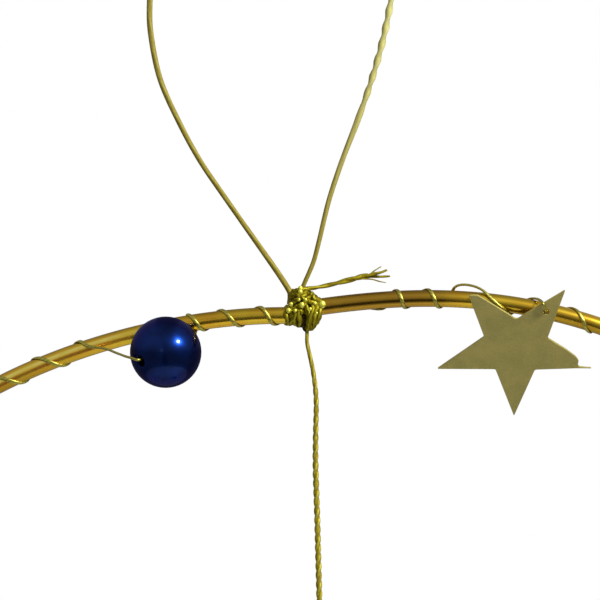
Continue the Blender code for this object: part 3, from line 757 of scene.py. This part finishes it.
def in_card(across, up):
    """(along, up the card) of a point given by its place across and up a star."""
    cos, sin = math.cos(STAR_ROLL), math.sin(STAR_ROLL)
    return across * cos - up * sin, across * sin + up * cos


def card_front(sizes, outward, off=0.0):
    """How far in front of the rod's centreline a star's card is at that distance outward."""
    seat = (sizes.rod + sizes.card) / 2 + sizes.thread + 2 * CLEARANCE
    return (seat + off + outward * math.sin(STAR_TILT)) / math.cos(STAR_TILT)


def star_hole(sizes):
    """The thread hole on a star: (across, up) on the card, then (along, outward) from the rod below."""
    reach = sizes.star * THREAD_HOLE_AT
    across, up = reach * math.cos(THREAD_HOLE_WAY), reach * math.sin(THREAD_HOLE_WAY)
    along, risen = in_card(across, up)
    return across, up, along, risen * math.cos(STAR_TILT) - STAR_DROP * sizes.star


def star_passage(seat, sizes, reach):
    """Thread points past a star: a slack bow over the rod, a turn behind the card, then over the card's
    upper edge, back through its hole and twice round the rod."""
    _, _, hole, level = star_hole(sizes)
    on_card = sizes.card / 2 + sizes.thread / 2 + CARD_GAP
    edge = [
        (hole - 0.0023, 0.00195, 0.0004), (hole - 0.0018, 0.0019, 0.0016), (hole - 0.0014, 0.0017, 0.0032),
        (hole - 0.0011, 0.0013, card_front(sizes, 0.0013, on_card) - 0.0002),
        (hole - 0.0007, 0.0007, card_front(sizes, 0.0007, on_card)),
        (hole - 0.0002, level + 0.0002, card_front(sizes, level + 0.0002, on_card) - 0.0001),
        (hole, level, card_front(sizes, level)),
        (hole + 0.0001, level - 0.0001, card_front(sizes, level, -on_card)),
        (hole + 0.0005, -0.0013, 0.0016), (hole + 0.0010, -reach, 0.0), (hole + 0.0019, -0.0014, -0.0014),
        (hole + 0.0031, 0.0, -reach), (hole + 0.0043, 0.0014, -0.0014),
    ]
    past = rod_turns([hole + 0.0054, hole + PAST_STAR], [hole + 0.0096], reach)
    return np.concatenate([STAR_BOW, edge, past]) + [seat, 0.0, 0.0]


def seats():
    """Places of the stars and of the beads along the hoop, which take turns."""
    places = np.linspace(FIRST_STAR, HOOP_LENGTH + LAST_BEAD, 2 * PAIRS)
    return places[0::2], places[1::2]


def thread_reach(sizes):
    """How far the wound thread's middle is from the rod's centreline."""
    return (sizes.rod + sizes.thread * PRESSED_WIDTH * PRESSED_FLATNESS) / 2 - SUNK


def thread_line(sizes):
    """The thread from the lashing clockwise round the hoop, past each star and bead, to the lashing."""
    reach = thread_reach(sizes)
    _, _, hole, _ = star_hole(sizes)
    rows = [[
        (0.0030, 0.0, -reach), (0.0092, -0.0004, -reach), (0.0130, -0.0014, -0.0015), (0.0147, -reach, 0.0),
        (0.0159, -0.0014, -0.0014), (0.0168, 0.0, -reach), (0.0176, 0.0014, -0.0014),
    ]]
    rows.append(rod_turns(FIRST_TOPS, FIRST_BOTTOMS, reach))
    reached = None
    for star, bead in zip(*seats()):
        if reached is not None:
            rows.append(turns_between(reached, star - BEFORE_STAR, reach)[:-1])
        rows.append(star_passage(star, sizes, reach))
        start = bead - BEFORE_BEAD - 2 * WIDE_PITCH
        rows.append(turns_between(star + hole + PAST_STAR, start, reach))
        rows.append(even_turns(start, bead - BEFORE_BEAD, 2, reach))
        rows.append(bead_passage(bead, sizes, reach))
        reached = bead + PAST_BEAD
    last = [
        (-0.0090, reach, 0.0), (-0.0082, 0.0014, 0.0014), (-0.0074, 0.0, reach), (-0.0066, -0.0014, 0.0014),
        (-0.0059, -reach, 0.0), (-0.0050, -0.0014, -0.0014), (-0.0030, 0.0, -reach),
    ]
    last = np.concatenate([rod_turns([-0.0164, -0.0090], [-0.0128], reach), last])
    rows.append(last + [HOOP_LENGTH, 0.0, 0.0])
    return smooth_line(by_rod(np.concatenate(rows)), THREAD_STEP)


def thread_shell(sizes):
    """The thread's surface: pressed flat where it lies on the rod, and round where it has slack. The slack
    is its distance from the rod's centreline, less what that is for thread wound on the rod."""
    path = thread_line(sizes)
    polar = path - HOOP_CENTRE
    off = polar - from_hoop_centre(np.arctan2(polar[:, 0], polar[:, 2]) - HOOP_LEAN)
    slack = np.linalg.norm(off, axis=1) - thread_reach(sizes)
    pressed = np.interp(slack, SLACK, [1.0, 0.0])
    padded = np.pad(pressed, SMOOTHING // 2, "edge")
    pressed = np.convolve(padded, np.full(SMOOTHING, 1 / SMOOTHING), "valid")
    side = np.cross(unit(np.gradient(path, axis=0)), off)
    half = sizes.thread / 2 * np.interp(pressed, [0, 1], [FREE_WIDTH, PRESSED_WIDTH])
    return bar(path, side, half, 14, flatness=np.interp(pressed, [0, 1], [1.0, PRESSED_FLATNESS]))


def bead_shell(centre, axis, sizes):
    """A ball with a bore, turned about its axis: round the outside, over a softly rounded mouth, through
    the bore and over the other mouth. Each ring point is centre + r (cos a side + sin a up) + z axis."""
    ball, bore = sizes.bead / 2, sizes.bore / 2
    mouth = math.asin((bore + BORE_LIP) / ball)
    tilt = np.linspace(mouth, math.pi - mouth, 56)
    top, t = ball * math.cos(mouth), np.linspace(0.0, 1.0, 8)[1:-1]
    lip_r = (1 - t) ** 2 * (bore + BORE_LIP) + 2 * t * (1 - t) * bore + t**2 * bore
    lip_z = (1 - t) ** 2 * top + 2 * t * (1 - t) * top + t**2 * (top - BORE_LIP)
    wall = np.linspace(BORE_LIP - top, top - BORE_LIP, 6)
    r = np.concatenate([ball * np.sin(tilt), lip_r, bore + 0 * wall, lip_r[::-1]])
    z = np.concatenate([ball * np.cos(tilt), -lip_z, wall, lip_z[::-1]])
    side = unit(np.cross(axis, FRONT + [0.1, 0.0, 0.2]))
    up = np.cross(axis, side)
    angle = circle(72)[:, None, None]
    grid = centre + r[:, None] * (np.cos(angle) * side + np.sin(angle) * up) + z[:, None] * axis
    return surface(grid, np.linspace(0.0, 1.0, len(grid) + 1), closed=True)


def star_corners():
    """Corners of a five-pointed star, point down, as shares of its radius."""
    angle = -math.pi / 2 + math.pi * np.arange(10) / 5
    reach = np.where(np.arange(10) % 2, STAR_WAIST, 1.0)
    return np.stack([reach * np.cos(angle), reach * np.sin(angle)], -1)


def softened(corners, radius):
    """An outline with each corner replaced by a short curve: the parabola that touches both its sides."""
    before, after = np.roll(corners, 1, axis=0), np.roll(corners, -1, axis=0)
    sides = np.stack([before, after]) - corners
    cut = sides * np.minimum(radius / np.linalg.norm(sides, axis=-1, keepdims=True), 0.45)
    t = np.linspace(0.0, 1.0, 5)[None, :, None]
    curve = corners[:, None] + (1 - t) ** 2 * cut[0][:, None] + t**2 * cut[1][:, None]
    return curve.reshape(-1, 2)


def star_mesh(name, corners, hole, hole_size, sizes, place):
    """A flat card star with a punched hole and a slightly rounded edge, as a mesh in its place."""
    curve = bpy.data.curves.new(name, "CURVE")
    curve.dimensions = "2D"
    curve.fill_mode = "BOTH"
    curve.bevel_depth, curve.bevel_resolution, curve.offset = STAR_EDGE, 1, -STAR_EDGE
    curve.extrude = sizes.card / 2 - STAR_EDGE
    rim = circle(28)
    edge = np.array(hole) + hole_size / 2 * np.stack([np.cos(rim), np.sin(rim)], -1)
    for outline in (softened(np.array(corners) * sizes.star, STAR_CORNER), edge):
        spline = curve.splines.new("POLY")
        spline.points.add(len(outline) - 1)
        spline.use_cyclic_u = True
        spline.points.foreach_set("co", (np.pad(outline, ((0, 0), (0, 2))) + [0, 0, 0, 1]).ravel())
    flat = put(name + "_flat", curve)
    graph = bpy.context.evaluated_depsgraph_get()
    mesh = bpy.data.meshes.new_from_object(flat.evaluated_get(graph))
    bpy.data.objects.remove(flat)
    shape = bmesh.new()
    shape.from_mesh(mesh)
    bmesh.ops.remove_doubles(shape, verts=shape.verts, dist=1e-6)
    bmesh.ops.recalc_face_normals(shape, faces=shape.faces)
    shape.transform(place)
    shape.to_mesh(mesh)
    shape.free()
    return mesh


def hoop_star_place(seat, sizes):
    """Where a star hangs: across the rod's front, its upper arms leaning forward, rolled a little."""
    drop = STAR_DROP * sizes.star
    centre = by_rod([(seat, -drop, card_front(sizes, -drop))])[0]
    _, forward, out = (part[0] for part in hoop_frame(np.array([seat])))
    up = out * math.cos(STAR_TILT) + FRONT * math.sin(STAR_TILT)
    pose = Matrix(np.stack([forward, up, np.cross(forward, up)], -1).tolist())
    return Matrix.Translation(Vector(centre)) @ (pose @ Matrix.Rotation(STAR_ROLL, 3, "Z")).to_4x4()


def turn_shells(turns, thickness, pitch):
    """Closed turns of twisted cord, each an ellipse between its upper and lower end that stands out to the
    front and the back: middle + half cos t, with -depth sin t along Y, and a slight wave along the rod."""
    shells = []
    t = circle(150)
    for number, (x1, z1, x2, z2, depth) in enumerate(turns):
        half = np.array([(x1 - x2) / 2, 0.0, (z1 - z2) / 2])
        middle = np.array([(x1 + x2) / 2, 0.0, (z1 + z2) / 2])
        path = middle + half * np.cos(t)[:, None] + FRONT * (depth * np.sin(t))[:, None]
        path[:, 0] += TURN_WAVE * np.sin(3 * t + 2.1 * number)
        twists = round(run_along(np.concatenate([path, path[:1]]))[-1] / pitch)
        turn = twists * t + 0.9 * number
        shells.append(bar(path, path - middle, thickness / 2, 14, True, turn=turn, plies=2))
    return shells


def lump_shell(centre, size):
    """An egg: rings of radius sin a at heights cos a about the vertical axis, times the half sizes."""
    tilt = np.linspace(0.08, math.pi - 0.08, 16)[:, None]
    angle = circle(24)[None, :]
    x, y, z = np.sin(tilt) * np.cos(angle), np.sin(tilt) * np.sin(angle), np.cos(tilt) + 0 * angle
    return surface(centre + np.stack([x, y, z], -1) * size, np.linspace(0.0, 0.01, 16))


def pendant_run():
    """The pendant cord's line, and the distance of its points from its first."""
    path = smooth_line(in_plane(PENDANT_ROUTE), PENDANT_STEP)
    return path, run_along(path)


class MOBILE_OT_camera(bpy.types.Operator):
    """Adds the camera at the photograph's viewing angle"""

    bl_idname = "mobile.camera"
    bl_label = "Camera"

    def execute(self, context):
        camera = bpy.data.cameras.new("camera")
        camera.lens, camera.clip_start, camera.clip_end = CAMERA_LENS, 0.01, 20.0
        made = put("camera", camera)
        made.location = CAMERA_AT
        made.rotation_euler = (math.radians(90), 0.0, 0.0)
        context.scene.camera = made
        return {"FINISHED"}


class MOBILE_OT_cords(bpy.types.Operator):
    """Makes the loop that the mobile hangs by and the cord down to the pendant"""

    bl_idname = "mobile.cords"
    bl_label = "Cords"

    def execute(self, context):
        sizes, colours = context.scene.mobile_sizes, context.scene.mobile_colours
        loop = smooth_line(in_plane(LOOP_ROUTE), LOOP_STEP)
        run = run_along(loop)
        share = run / run[-1]
        width, loose = np.interp(share, LOOP_WIDTHS_AT, LOOP_WIDTHS), np.interp(share, LOOSE_AT, LOOSE)
        turn = np.cumsum(np.gradient(run) * (loose * math.tau / LOOSE_PITCH + (1 - loose) * LOOP_TWIST))
        smooth = cord_material(colours, "smooth_cord", 160.0, 0.12, 0.2, deep=0.74, pale_top=True)
        flat = 0.92 - 0.25 * loose
        shell = bar(loop, FRONT, sizes.cord / 2 * width, 20, flatness=flat, turn=turn, plies=7, groove=0.05)
        made = piece("loop_cord", [shell], smooth, ["hanging_loop"])
        down, run = pendant_run()
        width = np.interp(run, PENDANT_WIDTHS_AT, PENDANT_WIDTHS)
        groove = np.interp(run, PENDANT_GROOVES_AT, PENDANT_GROOVES)[:, None]
        twisted = cord_material(colours, "twisted_cord", 500.0, 0.40, 0.6, deep=0.92)
        half, turn = sizes.pendant_cord / 2 * width, run * math.tau / PENDANT_PITCH
        shell = bar(down, FRONT, half, 18, turn=turn, plies=2, groove=groove)
        piece("pendant_line", [shell], twisted, ["pendant_cord"])
        return {"FINISHED"}


class MOBILE_OT_hoop(bpy.types.Operator):
    """Makes the gold rod bent to a hoop, kinked and stepped where it is welded"""

    bl_idname = "mobile.hoop"
    bl_label = "Hoop"

    def execute(self, context):
        sizes = context.scene.mobile_sizes
        weld = np.linspace(-WELD_STRETCH, WELD_STRETCH, 121)[:-1]
        ring = np.linspace(WELD_STRETCH, HOOP_LENGTH - WELD_STRETCH, 1300)[:-1]
        centre, _, _ = hoop_frame(np.concatenate([weld, ring]))
        shell = bar(centre, -FRONT, sizes.rod / 2, 36, closed=True)
        piece("gold_hoop", [shell], rod_material(context.scene.mobile_colours), ["hoop"])
        return {"FINISHED"}


class MOBILE_OT_thread(bpy.types.Operator):
    """Winds the thread round the hoop, past every star and through every bead"""

    bl_idname = "mobile.thread"
    bl_label = "Winding thread"

    def execute(self, context):
        shell = thread_shell(context.scene.mobile_sizes)
        gold = thread_material(context.scene.mobile_colours)
        piece("wound_thread", [shell], gold, ["winding_thread"])
        return {"FINISHED"}


class MOBILE_OT_lashing(bpy.types.Operator):
    """Ties the cord round the weld, with its knot and frayed loose end"""

    bl_idname = "mobile.lashing"
    bl_label = "Lashing"

    def execute(self, context):
        sizes, colours = context.scene.mobile_sizes, context.scene.mobile_colours
        yarn = cord_material(colours, "knotted_cord", 700.0, 0.38, 1.0, deep=0.72)
        turns = turn_shells(LASHING_TURNS, LASHING_SHARE * sizes.cord, LASHING_PITCH)
        piece("lashing_turns", turns, yarn, ["lashing"])
        knot = turn_shells(KNOT_TURNS, KNOT_SHARE * sizes.cord, KNOT_PITCH)
        piece("knot", knot, yarn, ["lashing"])
        shade_cores = [lump_shell(core[:3], core[3:]) for core in SHADE_CORES]
        piece("painted_shade_lashing", shade_cores, shadow_material(), ["lashing"])
        glint_bulges = [lump_shell(foil[:3], foil[3] * np.array([1.0, 0.7, 1.15])) for foil in GLINT_BULGES]
        piece("foil_glint_bulges", glint_bulges, foil_glint_material(colours), ["lashing"])
        tail = smooth_line(TAIL_ROUTE, TAIL_STEP)
        run = run_along(tail)
        half = np.interp(run / run[-1], TAIL_HALF_AT, TAIL_HALF) * MM
        shells = [bar(tail, FRONT, half, 18, turn=run * math.tau / TAIL_PITCH, plies=2)]
        for thickness, route in FRAYS:
            strand = smooth_line(MM * np.array(route), PENDANT_STEP)
            half = MM * thickness / 2 * (1 - 0.45 * np.linspace(0.0, 1.0, len(strand)) ** 4)
            turn = run_along(strand) * FRAY_TWIST
            shells.append(bar(strand, FRONT, half, 18, turn=turn, plies=2, groove=0.2))
        loose = cord_material(colours, "loose_cord", 300.0, 0.25, 0.9, deep=0.88)
        piece("frayed_end", shells, loose, ["lashing"])
        return {"FINISHED"}


class MOBILE_OT_beads(bpy.types.Operator):
    """Makes the pearl beads, threaded by their bores"""

    bl_idname = "mobile.beads"
    bl_label = "Beads"

    def execute(self, context):
        sizes = context.scene.mobile_sizes
        pearl = bead_material(context.scene.mobile_colours)
        seat, way = bead_seat(sizes)
        for number, along in enumerate(seats()[1], 1):
            centre = by_rod([(along, seat[1], seat[2])])[0]
            _, forward, out = (part[0] for part in hoop_frame(np.array([along])))
            axis = forward * way[0] + out * way[1] + FRONT * way[2]
            ball = bead_shell(centre, axis, sizes)
            piece(f"pearl_{number}", [ball], pearl, [f"bead_{number}"])
        return {"FINISHED"}


class MOBILE_OT_stars(bpy.types.Operator):
    """Cuts the card stars and hangs them on the hoop"""

    bl_idname = "mobile.stars"
    bl_label = "Stars"

    def execute(self, context):
        sizes = context.scene.mobile_sizes
        card = card_material(context.scene.mobile_colours)
        hole = star_hole(sizes)[:2]
        for number, along in enumerate(seats()[0], 1):
            name = f"card_star_{number}"
            corners = CHIPPED_STAR if number == 1 else star_corners()
            mesh = star_mesh(name, corners, hole, THREAD_HOLE, sizes, hoop_star_place(along, sizes))
            fit(name, mesh, card, [f"star_{number}"])
        return {"FINISHED"}


class MOBILE_OT_pendant(bpy.types.Operator):
    """Makes the bead, the tie and the star at the lower end of the cord"""

    bl_idname = "mobile.pendant"
    bl_label = "Pendant"

    def execute(self, context):
        sizes, colours = context.scene.mobile_sizes, context.scene.mobile_colours
        path, run = pendant_run()
        end = path[-1]
        up = np.array([0.0, 0.0, 1.0])
        ball = bead_shell(end + up * sizes.bead / 2, up, sizes)
        bead = piece("pendant_pearl", [ball], bead_material(colours), ["pendant_bead"])
        low, high = (np.array(corner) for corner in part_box("pendant_tie"))
        knot = high[2] - KNOT_BELOW_TOP
        rings = TIE_TURNS + [end[0], knot, end[0], knot, 0.0]
        shells = turn_shells(rings, TIE_SHARE * sizes.pendant_cord, TIE_PITCH)
        half_wide, eye_low = (high[1] - low[1] - sizes.pendant_cord) / 2, low[2] + sizes.pendant_cord / 2
        t = circle(160)[:, None]
        middle, half_high = (knot + eye_low) / 2, (knot - eye_low) / 2
        eye = np.array([end[0], 0.0, middle]) + half_wide * np.sin(t) * FRONT + half_high * np.cos(t) * up
        half = 0.48 * sizes.pendant_cord
        shells.append(bar(eye, [1.0, 0.0, 0.0], half, 14, True, turn=8 * t[:, 0], plies=2))
        yarn = cord_material(colours, "tied_cord", 700.0, 1.0)
        tie = piece("pendant_knot", shells, yarn, ["pendant_tie"])
        star_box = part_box("pendant_star")
        place = Matrix.Translation((end[0], 0.0, star_box[1].z - sizes.star))
        place = place @ Matrix.Rotation(math.pi, 4, "Y") @ Matrix.Rotation(math.radians(90), 4, "X")
        hole = 0.0, TIE_HOLE_BELOW_TIP - sizes.star
        mesh = star_mesh("pendant_star_card", star_corners(), hole, TIE_HOLE, sizes, place)
        star = fit("pendant_card", mesh, card_material(colours), ["pendant_star"])
        return {"FINISHED"}


class MOBILE_OT_stage(bpy.types.Operator):
    """Adds the pale floor, the soft light and the white surroundings"""

    bl_idname = "mobile.stage"
    bl_label = "Stage"

    def execute(self, context):
        scene = context.scene
        low = CAD_BOX[0][2] - FLOOR_BELOW
        turn = circle(96)
        rim = np.stack([FLOOR_RADIUS * np.cos(turn), FLOOR_RADIUS * np.sin(turn), low + 0 * turn], -1)
        mesh = bpy.data.meshes.new("floor")
        mesh.from_pydata(rim, [], [range(len(rim))])
        mesh.materials.append(floor_material(scene.mobile_colours))
        put("floor", mesh)
        for name, width, power, way in LAMPS:
            self.lamp(name, width, power, way)
        self.surroundings(scene)
        scene.view_settings.view_transform = "Standard"
        return {"FINISHED"}

    def lamp(self, name, width, power, way):
        """A round soft light that looks at the middle of the picture from a metre in that direction."""
        light = bpy.data.lights.new(name, "AREA")
        light.shape, light.size, light.energy = "DISK", width, power
        made = put(name, light)
        way = Vector(way).normalized()
        made.location = PICTURE_MIDDLE + way
        made.rotation_euler = way.to_track_quat("Z", "Y").to_euler()

    def surroundings(self, scene):
        """White for the camera. For light and reflections: bright above and below, and between them a dark
        patch in front that ends to the left and the right, where below is darker and above is brighter."""
        world = bpy.data.worlds.new("studio")
        world.use_nodes = True
        world.node_tree.nodes.clear()
        nodes = Socket(world.node_tree)
        way = nodes.node("ShaderNodeTexCoord")
        side, back, rise = way.parts()
        wave = nodes.noise(way, 3.0, 2.0)
        turn = rise.maths("ARCTAN2", 0.0 - back) / math.tau + 0.5 + (wave - 0.5) * 0.10
        glow = nodes.node("ShaderNodeValToRGB", {0: turn}, stops=STUDIO)
        lean = side.maths("ABSOLUTE") / (rise.maths("ABSOLUTE") + 0.008)
        lean, up = lean.eased(0.16, 0.50), rise.eased(0.0, 0.5)
        glow = glow.maths("MAXIMUM", lean * 0.36) + lean * up * 0.12
        glow = glow.maths("MINIMUM", 0.45 - lean * 0.25 + up)
        seen = nodes.node("ShaderNodeLightPath")
        strength = seen + (1.0 - seen) * glow
        light = nodes.node("ShaderNodeBackground", {"Color": (1.0, 1.0, 1.0, 1.0), "Strength": strength})
        nodes.node("ShaderNodeOutputWorld", {"Surface": light})
        scene.world = world


class MOBILE_PT_panel(bpy.types.Panel):
    """Lists the mobile's pieces, sizes and colours"""

    bl_label = "Hanging mobile"
    bl_idname = "MOBILE_PT_panel"
    bl_space_type = "VIEW_3D"
    bl_region_type = "UI"
    bl_category = "Mobile"

    def draw(self, context):
        for step in STEPS:
            self.layout.operator(step.bl_idname)
        for group in (context.scene.mobile_sizes, context.scene.mobile_colours):
            for name in group.__annotations__:
                self.layout.prop(group, name)


STEPS = (
    MOBILE_OT_camera, MOBILE_OT_cords, MOBILE_OT_hoop, MOBILE_OT_thread, MOBILE_OT_lashing, MOBILE_OT_beads,
    MOBILE_OT_stars, MOBILE_OT_pendant, MOBILE_OT_stage,
)


def register():
    for kind in (MobileSizes, MobileColours, *STEPS, MOBILE_PT_panel):
        bpy.utils.register_class(kind)
    bpy.types.Scene.mobile_sizes = bpy.props.PointerProperty(type=MobileSizes)
    bpy.types.Scene.mobile_colours = bpy.props.PointerProperty(type=MobileColours)


def unregister():
    del bpy.types.Scene.mobile_sizes
    del bpy.types.Scene.mobile_colours
    for kind in (MobileSizes, MobileColours, *STEPS, MOBILE_PT_panel):
        bpy.utils.unregister_class(kind)


def main():
    register()
    bpy.ops.mobile.camera()
    bpy.ops.mobile.cords()
    bpy.ops.mobile.hoop()
    bpy.ops.mobile.thread()
    bpy.ops.mobile.lashing()
    bpy.ops.mobile.beads()
    bpy.ops.mobile.stars()
    bpy.ops.mobile.pendant()
    bpy.ops.mobile.stage()
    bpy.context.view_layer.update()


if __name__ == "__main__":
    main()
